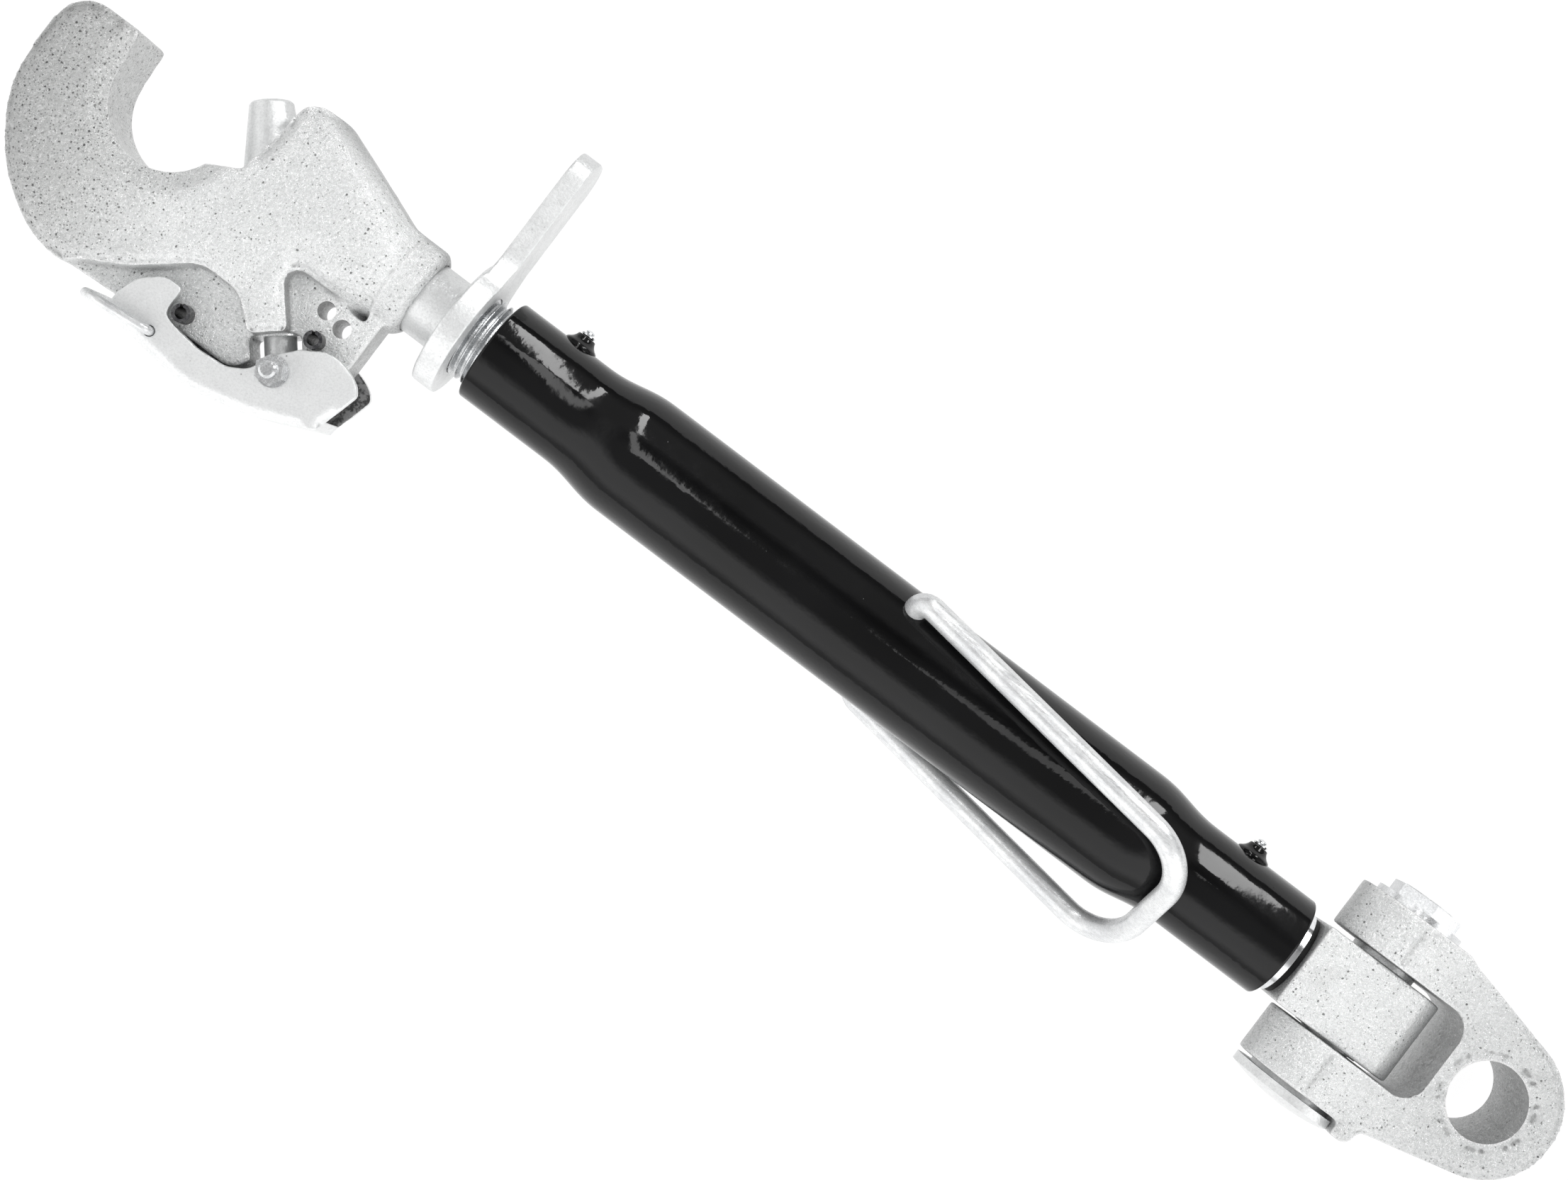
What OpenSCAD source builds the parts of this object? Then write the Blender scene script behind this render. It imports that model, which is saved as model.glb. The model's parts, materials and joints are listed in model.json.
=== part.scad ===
// Mechanical top link: a turnbuckle with a quick-catch hook at one end and a knuckle eye at the other.
// Origin: centre of the eye's bore. +X runs along the link and out past the eye, the hook lies towards
// -X, its mouth opens towards +Y, and +Z is the axis of the eye's bore.

/* [Overall] */
// Distance from the eye's centre to the centre of the hook's seat, fully screwed in
centre_distance = 637.4; // [637.4:0.1:700]

/* [Tube] */
// Distance from the eye's centre to the tube's nearer end
tube_near = 93.5; // [92:0.5:96]
// Length of the threaded tube
tube_len = 391; // [388:1:391]
// Outer diameter of the tube's middle
tube_d = 52; // [50:1:56]
// Outer diameter of the tube's swaged ends
tube_end_d = 44.4; // [43:0.2:47]
// Length of the swaged end at the hook
swage_hook_len = 45; // [40:1:60]
// Length of the swaged end at the eye
swage_eye_len = 52; // [45:1:60]
// Length of the cone between an end and the middle
swage_cone_len = 24; // [15:1:30]

/* [Screws] */
// Nominal diameter of both threads, one right hand and one left hand
thread_d = 36; // [34:1:36]
// Length of each screw inside the tube
screw_in = 180; // [150:5:185]
// Diameter of the plain neck behind the hook
neck_d = 31; // [28:1:33]
// Radial running clearance between a screw and the tube
screw_gap = 0.05; // [0.02:0.01:0.1]

/* [Lock nut] */
// Distance from the seat's centre to the lock nut's hook side
nut_from_seat = 134.2; // [132:0.2:136]
// Thickness of the lock nut
nut_t = 10; // [8:0.5:12]
// Outer diameter of the lock nut's ring
nut_d = 56; // [54:1:60]
// Reach of the arm from the screw's axis
arm_reach = 84; // [70:1:100]
// Width of the arm
arm_w = 28; // [22:1:30]
// Thickness of the arm
arm_t = 8.6; // [7:0.2:10]

/* [Hook] */
// Radius of the hook's seat, for a 50 mm ball
seat_r = 25.3; // [25:0.1:25.5]
// Width of the seat
seat_w = 39; // [36:1:42]
// Width of the hook's body
hook_w = 44; // [42:1:48]
// Thickness of the fin that carries the latch
fin_t = 22; // [20:0.5:23]
// Diameter of the socket round the neck
socket_d = 39.6; // [39:0.2:42]
// Distance from the seat's centre to the socket's end
socket_end = 119.9; // [118:0.5:121]
// Diameter of the roll pins and of the fin's holes
roll_pin_d = 7.5; // [6:0.5:8]
// Length of a roll pin
roll_pin_len = 38; // [34:1:40]

/* [Latch] */
// Tilt of the plunger below the link's axis, degrees
plunger_tilt = 50.7; // [50:0.1:51.5]
// Length from the lever's stud to the plunger's nose
plunger_len = 108; // [107:0.5:109]
// Diameter of the plunger's guided part
plunger_d = 23.6; // [22:0.2:23.6]
// Diameter of the plunger's nose
nose_d = 17.6; // [16:0.2:20]
// Diameter of the plunger's rod
rod_d = 13; // [12:0.5:14]
// Diameter of the lever's stud
stud_d = 7; // [6:0.5:8]
// Sheet thickness of the latch lever
lever_t = 4; // [3:0.5:4]
// Height of the lever's cheeks above the hook's middle plane
lever_half_w = 18; // [17.5:0.5:18.5]
// Travel of the plunger for each radian that the lever turns
cam_rise = 16.7; // [15:0.1:17]
// Largest opening angle of the lever, degrees
lever_angle = 72; // [60:1:75]
// Wire diameter of the pull ring
ring_wire_d = 3.8; // [3:0.2:4.2]

/* [Bail handle] */
// Distance from the eye's centre to the bail's pivot
bail_x = 290; // [285:1:295]
// Wire diameter of the bail
bail_wire_d = 9.6; // [8:0.2:10]
// Distance between the middles of the bail's legs
bail_w = 65; // [63:1:68]
// Length of the bail's legs, from the pivot to the bow
bail_len = 145; // [120:1:146]
// Angle of the bail's pivot above the +Y axis, degrees
bail_roll = 44; // [40:1:50]
// Angle between the resting bail and the tube, degrees
bail_lift = 11; // [11:0.5:20]

/* [Knuckle and eye] */
// Radius of the eye's bore, category 3
eye_bore_r = 16.1; // [15:0.1:16.5]
// Outer radius of the eye
eye_r = 30.6; // [29:0.2:33]
// Thickness of the fork and of the eye
fork_t = 50; // [48:1:52]
// Distance from the eye's centre to the knuckle pin
pin_from_eye = 58; // [57:0.5:59]
// Outer half width of the fork
fork_half_w = 41.6; // [40:0.2:43]
// Diameter of the knuckle pin
pin_d = 22; // [20:1:24]
// Outer diameter of the knuckle bush
bush_d = 28; // [27:0.5:30]
// Width of the knuckle block
block_w = 36.6; // [35:0.2:37]

/* [Hidden] */
$fn = 64;

eps = 0.01;
cut = 1;
zinc = [0.80, 0.81, 0.81];
steel = [0.72, 0.73, 0.74];
black = [0.06, 0.06, 0.065];
dark = [0.22, 0.22, 0.23];

tube_far = tube_near + tube_len;
tube_wall = 5;
screw_d = thread_d - 2 * screw_gap;
wiper_len = 4.5;
wiper_r = 20.3;
wiper_gap = 0.1;
eye_seat_x = -centre_distance;
nut_x = eye_seat_x + nut_from_seat;
fork_half_t = fork_t / 2;
hook_half_w = hook_w / 2;
neck_root = 84;
spigot_r = 15;
spigot_end = -pin_from_eye - 19;
seal_t = 2.4;
block_left = -88;
block_round_r = 27.6;
block_half_t = 22;
nipple_x = [-457.4, -124.4];
fork_gap_low = -19.3;
fork_gap_high = 20.8;
side_play = 0.3;
washer_t = fork_gap_high - block_w / 2 - side_play;
pin_washer_t = 2.6;
pin_nut_t = 5.2;
nut_top = fork_half_w + pin_washer_t + pin_nut_t;

// The latch, in the hook's own plane with the seat's centre at its origin
stud_at = [92.9, -58.4];
fulcrum_at = [97.9, -39.2];
catch_at = [50.9, -61.8];
plunger_dir = [cos(plunger_tilt), -sin(plunger_tilt)];
lever_gap = 0.35;
roll_pin_r = roll_pin_d / 2;
ring_at = [45, -74.8];
spare_a = [93.8, -27.1];
spare_b = [102.9, -29.3];
slot_w = 20;

// Distances along the plunger's axis, up from the lever's stud
bush_seat = 14.6;
bush_len = 9.4;
shoulder = 58;
nose_len = 25.5;
bore_end = 112;
bore_r = plunger_d / 2 + 0.1;

// Points of an arc about c
function arc(c, r, a0, a1, n = 16) =
    [for (i = [0:n]) c + r * [cos(a0 + (a1 - a0) * i / n), sin(a0 + (a1 - a0) * i / n)]];

// One corner p of an outline, rounded to radius r between its neighbours a and b
function corner(a, p, b, r, n = 8) =
    let (
        u = (a - p) / norm(a - p),
        v = (b - p) / norm(b - p),
        half = acos(u * v) / 2,
        back = r / tan(half),
        c = p + (u + v) / norm(u + v) * r / sin(half),
        from = p + u * back - c,
        to = p + v * back - c,
        turn = 180 - 2 * half
    )
    [for (i = [0:n]) c + (sin(turn * (1 - i / n)) * from + sin(turn * i / n) * to) / sin(turn)];

// A closed outline from corners [x, y, radius]
function rounded(pts, n = 8) =
    [for (i = [0:len(pts) - 1])
        let (
            p = pts[i],
            a = pts[(i + len(pts) - 1) % len(pts)],
            b = pts[(i + 1) % len(pts)]
        )
        each (p[2] > 0 ? corner([a[0], a[1]], [p[0], p[1]], [b[0], b[1]], p[2], n) : [[p[0], p[1]]])];

function turned(p, a) = [p[0] * cos(a) - p[1] * sin(a), p[0] * sin(a) + p[1] * cos(a)];
function unit(p) = p / norm(p);

// Direction from the origin to where a line from p touches the circle of radius r about it
function touch_angle(p, r, side) = atan2(p[1], p[0]) + side * acos(r / norm(p));

// The cam edge of the lever, about its stud: the curve that the fulcrum pin would press on as the
// lever turns by a and the plunger draws its stud along the bore
function fulcrum_seen(a) = turned(fulcrum_at - stud_at - plunger_dir * cam_rise * a * PI / 180, -a);
function cam_point(a) =
    let (way = unit(fulcrum_seen(a + 0.5) - fulcrum_seen(a - 0.5)))
    fulcrum_seen(a) - [-way[1], way[0]] * (roll_pin_r + lever_gap);

// Round bar along +X from x0 to x1
module along_x(x0, x1, r) {
    translate([x0, 0, 0]) rotate([0, 90, 0]) cylinder(r = r, h = x1 - x0);
}

// Round bar along +Y from y0 to y1, about the line x
module along_y(x, y0, y1, r) {
    translate([x, y0, 0]) rotate([-90, 0, 0]) cylinder(r = r, h = y1 - y0);
}

// Things drawn in the hook's plane, with the seat's centre as their origin
module in_hook() {
    translate([eye_seat_x, 0, 0]) children();
}

module slab(t) {
    translate([0, 0, -t / 2]) linear_extrude(t) children();
}

// Turned shape about the plunger's axis, from [distance up the bore, radius] points
module on_plunger(profile) {
    translate([stud_at[0], stud_at[1], 0])
        rotate([0, -90, -plunger_tilt])
            rotate_extrude() polygon([for (p = profile) [p[1], p[0]]]);
}

// ---------------------------------------------------------------- hook

module hook_outline() {
    difference() {
        polygon(rounded([
            [-57.8, 15.9, 15], [-26.9, 15.9, 1.5], [-24.9, -1, 0], [0, -12, 0], [20, -11, 0],
            [36.4, -3, 0], [39, 17, 0], [40.6, 35, 9], [56.2, 36.8, 12], [100, 19.8, 10],
            [108, 19.6, 0], [108, -20.2, 0], [73.8, -20.4, 4.6], [76, -28, 3], [88.4, -42.4, 1.5],
            [76.5, -52.6, 2], [64, -41.6, 14], [46, -41.6, 16], [24, -59.4, 0], [7, -69, 0],
            [1, -73.8, 3], [-12.9, -73.8, 40], [-38, -59.1, 60], [-57.8, -30.4, 52]
        ]));
        circle(r = seat_r, $fn = 96);
    }
}

module fin_outline() {
    polygon(rounded([
        [-4, -60, 0], [-2, -73.6, 0], [20, -72.3, 0], [42, -70.6, 8], [50, -68.2, 6], [78, -68.2, 9],
        [84, -56, 3], [102, -56, 14], [114.9, -50, 15], [114.9, -18, 0], [60, -10, 0]
    ]));
}

module hook_forging() {
    color(zinc) in_hook() difference() {
        union() {
            slab(hook_w) hook_outline();
            slab(fin_t) fin_outline();
            along_x(70, socket_end - 3, socket_d / 2);
            translate([socket_end - 3, 0, 0]) rotate([0, 90, 0])
                cylinder(r1 = socket_d / 2, r2 = socket_d / 2 - 3, h = 3);
        }
        // Chamfers beside the seat
        for (side = [0, 1]) mirror([0, 0, side])
            translate([0, 0, seat_w / 2])
                cylinder(r1 = seat_r, r2 = seat_r + 6, h = hook_half_w - seat_w / 2 + eps);
        // Bore of the plunger, and the slot round its lower end
        on_plunger([[bush_seat, 0], [bush_seat, bore_r], [bore_end, bore_r], [bore_end, 0]]);
        slab(fin_t + 2 * cut) translate(stud_at) rotate(-plunger_tilt) square_slot();
        for (p = [fulcrum_at, catch_at, spare_a, spare_b]) translate([p[0], p[1], -hook_w])
            cylinder(r = roll_pin_r, h = 2 * hook_w);
        // Bore of the weld-in neck
        along_x(neck_root, socket_end + cut, neck_d / 2);
    }
}

// Below the bush the fin is open from face to face
module square_slot() {
    translate([-bush_seat, -slot_w / 2]) square([bush_seat + 40, slot_w]);
}

module hook_screw() {
    color(zinc) {
        along_x(eye_seat_x + neck_root, nut_x + cut, neck_d / 2);
        along_x(nut_x, -tube_far + screw_in - 2, screw_d / 2);
        translate([-tube_far + screw_in - 2, 0, 0]) rotate([0, 90, 0])
            cylinder(r1 = screw_d / 2, r2 = screw_d / 2 - 2, h = 2);
    }
}

module fulcrum_roll_pin() {
    color(dark) in_hook() roll_pin(fulcrum_at);
}

module catch_roll_pin() {
    color(dark) in_hook() roll_pin(catch_at);
}

// A slotted spring pin rolled from sheet
module roll_pin(at) {
    wall = 1.4;
    slot = 1.2;
    translate([at[0], at[1], -roll_pin_len / 2]) difference() {
        cylinder(r = roll_pin_r, h = roll_pin_len);
        translate([0, 0, -cut]) cylinder(r = roll_pin_r - wall, h = roll_pin_len + 2 * cut);
        rotate(120) translate([0, -slot / 2, -cut]) cube([roll_pin_d, slot, roll_pin_len + 2 * cut]);
    }
}

// ---------------------------------------------------------------- latch

module locking_plunger() {
    color(steel) in_hook() difference() {
        union() {
            on_plunger([[0, 0], [0, rod_d / 2], [shoulder, rod_d / 2], [shoulder, plunger_d / 2],
                [plunger_len - nose_len, plunger_d / 2], [plunger_len - 1, nose_d / 2],
                [plunger_len, nose_d / 2 - 1], [plunger_len, 0]]);
            translate([stud_at[0], stud_at[1], -rod_d / 2]) cylinder(r = 8.4, h = rod_d);
        }
        translate([stud_at[0], stud_at[1], -rod_d]) cylinder(r = stud_d / 2, h = 2 * rod_d);
    }
}

module guide_bush() {
    color(steel) in_hook()
        on_plunger([[bush_seat, rod_d / 2 + 0.05], [bush_seat, bore_r],
            [bush_seat + bush_len, bore_r], [bush_seat + bush_len, rod_d / 2 + 0.05]]);
}

// Coil spring between the bush and the plunger's shoulder, as a helix of short straight pieces
module plunger_spring() {
    wire_r = 1.1;
    coil_r = 9.4;
    turns = 5;
    per_turn = 14;
    low = bush_seat + bush_len + wire_r + 0.1;
    high = shoulder - wire_r - 0.1;
    function coil(i) = [coil_r * cos(360 * i / per_turn), coil_r * sin(360 * i / per_turn),
        low + (high - low) * i / (turns * per_turn)];
    function ring(i) =
        let (a = 360 * i / per_turn)
        [for (k = [0:7])
            let (b = 45 * k, out = coil_r + wire_r * cos(b))
            [out * cos(a), out * sin(a), coil(i)[2] + wire_r * sin(b)]];
    count = turns * per_turn;
    color(dark) in_hook() translate([stud_at[0], stud_at[1], 0]) rotate([0, -90, -plunger_tilt])
        polyhedron(
            points = [for (i = [0:count]) each ring(i)],
            faces = concat(
                [[for (k = [0:7]) k]],
                [for (i = [0:count - 1]) for (k = [0:7])
                    [8 * i + k, 8 * i + 8 + k, 8 * i + 8 + (k + 1) % 8, 8 * i + (k + 1) % 8]],
                [[for (k = [7:-1:0]) 8 * count + k]]));
}

module lever_stud() {
    stud_len = 2 * (lever_half_w + 12);
    color(steel) in_hook() translate([stud_at[0], stud_at[1], -stud_len / 2]) difference() {
        cylinder(r = stud_d / 2, h = stud_len);
        for (end = [0, 1]) translate([0, 0, end * stud_len]) mirror([0, 0, end]) translate([0, 0, -eps])
            difference() {
                cylinder(r = stud_d, h = 1);
                cylinder(r1 = stud_d / 2 - 1, r2 = stud_d / 2, h = 1);
            }
    }
}

// Flanged nuts on both ends of the stud
module stud_nuts() {
    across = 10.4;
    height = 8;
    flange_r = 6.4;
    color(steel) in_hook() for (side = [0, 1]) mirror([0, 0, side])
        translate([stud_at[0], stud_at[1], lever_half_w + 0.3]) difference() {
            union() {
                cylinder(r = flange_r, h = 1.2);
                cylinder(r = across / 2 / cos(30), h = height, $fn = 6);
            }
            translate([0, 0, -cut]) cylinder(r = stud_d / 2, h = height + 2 * cut);
        }
}

// The cheek's outline, with the beak over the catch pin at its left and the cam at its right
module lever_outline() {
    polygon(concat(
        [for (a = [0:6:lever_angle]) stud_at + cam_point(a)],
        rounded([[122.8, -43.9, 0], [124.9, -46.6, 2.5], [119.4, -67, 0], [95, -78, 60],
            [68, -84.4, 40], [27, -79.4, 1], [25.6, -78, 0.5], [25.6, -70, 6], [29, -61, 10],
            [37, -53.9, 8], [45.4, -53.6, 1.6], [45.6, -62, 0], [46.2, -65.6, 2.5], [52, -67.3, 8],
            [64, -68.9, 20], [77, -67.8, 10], [84.4, -63.4, 8], [90, -52, 0], [96.2, -45, 0]], 6)));
}

module latch_lever() {
    color(zinc) in_hook() {
        difference() {
            slab(2 * lever_half_w) lever_outline();
            // The hollow between the cheeks leaves a web along the lower edge
            slab(2 * (lever_half_w - lever_t)) polygon([
                [0, -20], [0, -75.3], [26, -75.5], [68, -80.1], [92, -74.8], [125, -59.8], [140, -20]]);
            translate([stud_at[0], stud_at[1], -2 * lever_half_w])
                cylinder(r = stud_d / 2 + 0.05, h = 4 * lever_half_w);
            translate([ring_at[0], ring_at[1], -2 * lever_half_w])
                cylinder(r = ring_wire_d / 2 + 0.3, h = 4 * lever_half_w);
        }
    }
}

// Wire ring through both cheeks, hanging out past the lever's end
module pull_ring() {
    reach = 30;
    half = lever_half_w + ring_wire_d / 2 + 1.4;
    tight = 3;
    wide = 8;
    wire_r = ring_wire_d / 2;
    fall = 6;
    color(steel) in_hook() translate([ring_at[0], ring_at[1], 0]) rotate(fall) {
        translate([0, 0, -half + tight]) cylinder(r = wire_r, h = 2 * (half - tight));
        for (side = [-1, 1]) {
            translate([-tight, 0, side * half]) rotate([0, -90, 0])
                cylinder(r = wire_r, h = reach - tight - wide);
            ring_bend([-tight, 0, side * (half - tight)], tight, side > 0 ? 0 : -90);
            ring_bend([-reach + wide, 0, side * (half - wide)], wide, side > 0 ? 90 : 180);
        }
        translate([-reach, 0, -half + wide]) cylinder(r = wire_r, h = 2 * (half - wide));
    }
}

// Quarter turn of the ring's wire about the point p
module ring_bend(p, bend, from) {
    translate(p) rotate([90, 0, 0]) rotate(from) rotate_extrude(angle = 90)
        translate([bend, 0]) circle(r = ring_wire_d / 2);
}

// ---------------------------------------------------------------- lock nut

module lock_nut() {
    color(zinc) translate([nut_x, 0, 0]) rotate([0, 90, 0]) difference() {
        union() {
            cylinder(r = nut_d / 2, h = nut_t);
            translate([0, 0, nut_t - arm_t]) linear_extrude(arm_t) difference() {
                polygon(rounded([
                    [0, -nut_d / 4, 0], [nut_d / 2 - 6, nut_d / 4, 10], [arm_w / 2, nut_d / 2 + 3, 12],
                    [arm_w / 2, arm_reach, arm_w / 2 - 1.5], [-arm_w / 2, arm_reach, arm_w / 2 - 1.5],
                    [-arm_w / 2, nut_d / 2 + 3, 12], [-nut_d / 2 + 6, nut_d / 4, 10]]));
                circle(r = nut_d / 2 - 4);
            }
        }
        translate([0, 0, -cut]) cylinder(r = screw_d / 2 + screw_gap, h = nut_t + 2 * cut);
    }
}

// ---------------------------------------------------------------- tube

module tube_profile() {
    r = tube_d / 2;
    er = tube_end_d / 2;
    bore = r - tube_wall;
    hook_cone = swage_hook_len + swage_cone_len;
    eye_cone = tube_len - swage_eye_len - swage_cone_len;
    edge = 1.2;
    polygon([
        [thread_d / 2, 0], [er - edge, 0], [er, edge], [er, swage_hook_len], [r, hook_cone],
        [r, eye_cone], [er, tube_len - swage_eye_len], [er, tube_len - edge], [er - edge, tube_len],
        [thread_d / 2, tube_len], [thread_d / 2, tube_len - swage_eye_len], [bore, eye_cone],
        [bore, hook_cone], [thread_d / 2, swage_hook_len]]);
}

module tube() {
    color(black) difference() {
        translate([-tube_far, 0, 0]) rotate([0, 90, 0]) rotate_extrude($fn = 96) tube_profile();
        along_x(-tube_far - cut, -tube_far + wiper_len + 0.5, wiper_r + wiper_gap);
        along_x(-tube_near - wiper_len - 0.5, -tube_near + cut, wiper_r + wiper_gap);
        translate([-bail_x, 0, 0]) rotate([bail_roll, 0, 0])
            along_y(0, -tube_d, tube_d, bail_wire_d / 2 + 0.05);
    }
}

module nipple_bosses() {
    base_r = 7.4;
    color(black) for (x = nipple_x) intersection() {
        translate([x, 17, 0]) rotate([-90, 0, 0]) difference() {
            union() {
                cylinder(r = base_r, h = 5.8);
                translate([0, 0, 5.8]) cylinder(r1 = base_r, r2 = 3.6, h = 3.6);
            }
            translate([0, 0, -cut]) cylinder(r = 1.6, h = 12);
        }
        translate([x, 0, 0]) rotate([0, 90, 0]) difference() {
            cylinder(r = 40, h = 40, center = true);
            cylinder(r = tube_end_d / 2, h = 50, center = true);
        }
    }
}

module grease_nipples() {
    color(steel) for (x = nipple_x) translate([x, 26.4, 0]) rotate([-90, 0, 0]) {
        cylinder(r = 1.9, h = 1);
        translate([0, 0, 0.9]) cylinder(r1 = 3.1, r2 = 2.5, h = 1);
        translate([0, 0, 1.8]) cylinder(r1 = 2.2, r2 = 1.1, h = 1.2);
        translate([0, 0, -3]) cylinder(r = 1.6, h = 3.05);
    }
}

// A wire handle whose ends turn in through the tube's wall
module bail_handle() {
    r = bail_wire_d / 2;
    half = bail_w / 2;
    bend = 6;
    bow = 22;
    tip = tube_d / 2 - tube_wall + 0.5;
    color(zinc) translate([-bail_x, 0, 0]) rotate([bail_roll, 0, 0]) rotate([0, -bail_lift, 0])
        for (side = [0, 1]) mirror([0, side, 0]) {
            along_y(0, tip, half - bend, r);
            translate([bend, half - bend, 0]) rotate(90) rotate_extrude(angle = 90)
                translate([bend, 0]) circle(r = r);
            translate([0, half, 0]) along_x(bend, bail_len - bow, r);
            translate([bail_len - bow, half - bow, 0]) rotate_extrude(angle = 90)
                translate([bow, 0]) circle(r = r);
            along_y(bail_len, 0, half - bow, r);
        }
}

module wiper() {
    rotate([0, 90, 0]) difference() {
        cylinder(r = wiper_r, h = wiper_len);
        translate([0, 0, -cut]) cylinder(r = screw_d / 2 + wiper_gap, h = wiper_len + 2 * cut);
    }
}

module hook_wiper_ring() {
    color(dark) translate([-tube_far + 0.2, 0, 0]) wiper();
}

module eye_wiper_ring() {
    color(dark) translate([-tube_near - wiper_len - 0.2, 0, 0]) wiper();
}

// ---------------------------------------------------------------- knuckle

module eye_screw() {
    color(steel) {
        along_x(block_left - seal_t, spigot_end, spigot_r);
        along_x(-tube_near - screw_in, block_left - seal_t, screw_d / 2);
        translate([-tube_near - screw_in - 2, 0, 0]) rotate([0, 90, 0])
            cylinder(r1 = screw_d / 2 - 2, r2 = screw_d / 2, h = 2);
    }
}

module seal_ring() {
    color(dark) translate([block_left - seal_t, 0, 0]) rotate([0, 90, 0]) difference() {
        cylinder(r = 17.2, h = seal_t);
        translate([0, 0, -cut]) cylinder(r = spigot_r, h = seal_t + 2 * cut);
    }
}

module knuckle_block() {
    color(zinc) difference() {
        intersection() {
            rotate([90, 0, 0]) translate([0, 0, -block_w / 2]) linear_extrude(block_w) intersection() {
                translate([block_left, -block_half_t]) square([80, 2 * block_half_t]);
                union() {
                    translate([-pin_from_eye, 0]) circle(r = block_round_r, $fn = 96);
                    translate([block_left, -block_half_t])
                        square([-pin_from_eye - block_left + 14, 2 * block_half_t]);
                }
            }
            slab(60) polygon(rounded([[block_left, block_w / 2, 1], [-20, block_w / 2, 0],
                [-20, -block_w / 2, 0], [block_left, -block_w / 2, 1]]));
        }
        along_y(-pin_from_eye, -block_w, block_w, bush_d / 2);
        along_x(block_left - cut, spigot_end, spigot_r);
    }
}

module knuckle_bush() {
    color(steel) difference() {
        along_y(-pin_from_eye, -block_w / 2 - 0.5, block_w / 2, bush_d / 2);
        along_y(-pin_from_eye, -block_w, block_w, pin_d / 2 + 0.05);
    }
}

module thrust_washer() {
    color(steel) difference() {
        along_y(-pin_from_eye, fork_gap_high - washer_t, fork_gap_high, bush_d / 2);
        along_y(-pin_from_eye, 0, 60, pin_d / 2);
    }
}

module fork_outline() {
    shoulder_x = -34;
    shoulder_y = 39.8;
    high = [shoulder_x, shoulder_y];
    low = [shoulder_x + 2, -shoulder_y + 0.6];
    polygon(concat(
        arc([0, 0], eye_r, touch_angle(low, eye_r, 1), touch_angle(high, eye_r, -1), 48),
        rounded([
            [eye_r * cos(touch_angle(high, eye_r, -1)), eye_r * sin(touch_angle(high, eye_r, -1)), 0],
            [high[0], high[1], 1], [-38, fork_half_w, 2],
            [-pin_from_eye - fork_half_t, fork_half_w, 0],
            [-pin_from_eye - fork_half_t, -fork_half_w + 0.6, 0], [-41.2, -fork_half_w + 0.6, 0.6],
            [-41.2, -fork_half_w - 5, 0.6], [low[0] - 1.4, -fork_half_w - 5, 4], [low[0], low[1], 3],
            [eye_r * cos(touch_angle(low, eye_r, 1)), eye_r * sin(touch_angle(low, eye_r, 1)), 0]])));
}

module fork_eye() {
    chamfer = 1.6;
    color(zinc) difference() {
        intersection() {
            slab(fork_t) fork_outline();
            rotate([90, 0, 0]) translate([0, 0, -60]) linear_extrude(120) union() {
                translate([-pin_from_eye, 0]) circle(r = fork_half_t, $fn = 96);
                translate([-pin_from_eye, -fork_half_t]) square([120, fork_t]);
            }
        }
        slab(fork_t + 2 * cut) polygon(rounded([
            [-120, fork_gap_high, 0], [-22.6, fork_gap_high, 9], [-22.6, fork_gap_low, 9],
            [-120, fork_gap_low, 0]]));
        cylinder(r = eye_bore_r, h = fork_t + 2 * cut, center = true);
        for (side = [0, 1]) mirror([0, 0, side]) translate([0, 0, fork_half_t - chamfer])
            cylinder(r1 = eye_bore_r, r2 = eye_bore_r + chamfer + eps, h = chamfer + eps);
        along_y(-pin_from_eye, -60, 60, pin_d / 2);
    }
}

// Shaft, shoulder under the head, domed head with a flat against the fork's stop
module knuckle_pin() {
    shoulder_t = 1.8;
    head_low = -fork_half_w + 0.6 - shoulder_t;
    head_r = 24;
    dome_r = 84;
    head_t = 7;
    color(zinc) {
        along_y(-pin_from_eye, head_low - eps, nut_top + 0.6, pin_d / 2 - 0.02);
        along_y(-pin_from_eye, head_low, -fork_half_w + 0.6, 18);
        intersection() {
            along_y(-pin_from_eye, head_low - head_t, head_low, head_r);
            translate([-pin_from_eye, head_low - head_t + dome_r, 0]) sphere(r = dome_r, $fn = 96);
            translate([-pin_from_eye - 40, -60, -40]) cube([40 + 16.4, 60, 80]);
        }
    }
}

module pin_washer() {
    color(zinc) difference() {
        along_y(-pin_from_eye, fork_half_w, fork_half_w + pin_washer_t, 19.2);
        along_y(-pin_from_eye, 0, 60, pin_d / 2);
    }
}

module pin_nut() {
    across = 27.4;
    color(steel) translate([-pin_from_eye, fork_half_w + pin_washer_t, 0]) rotate([-90, 0, 0])
        difference() {
            rotate(90) cylinder(r = across / 2 / cos(30), h = pin_nut_t, $fn = 6);
            translate([0, 0, -cut]) cylinder(r = pin_d / 2, h = pin_nut_t + 2 * cut);
        }
}

hook_forging();
hook_screw();
lock_nut();
hook_wiper_ring();
tube();
nipple_bosses();
grease_nipples();
bail_handle();
eye_wiper_ring();
eye_screw();
knuckle_block();
seal_ring();
knuckle_bush();
thrust_washer();
fork_eye();
knuckle_pin();
pin_washer();
pin_nut();
locking_plunger();
guide_bush();
plunger_spring();
lever_stud();
stud_nuts();
latch_lever();
fulcrum_roll_pin();
catch_roll_pin();
pull_ring();
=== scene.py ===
"""Looks for the tractor top link: forged zinc ends, gloss black tube, threads, wire parts and a studio."""
import json
import math

import bmesh
import bpy
import numpy as np
from mathutils import Matrix, Vector


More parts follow.
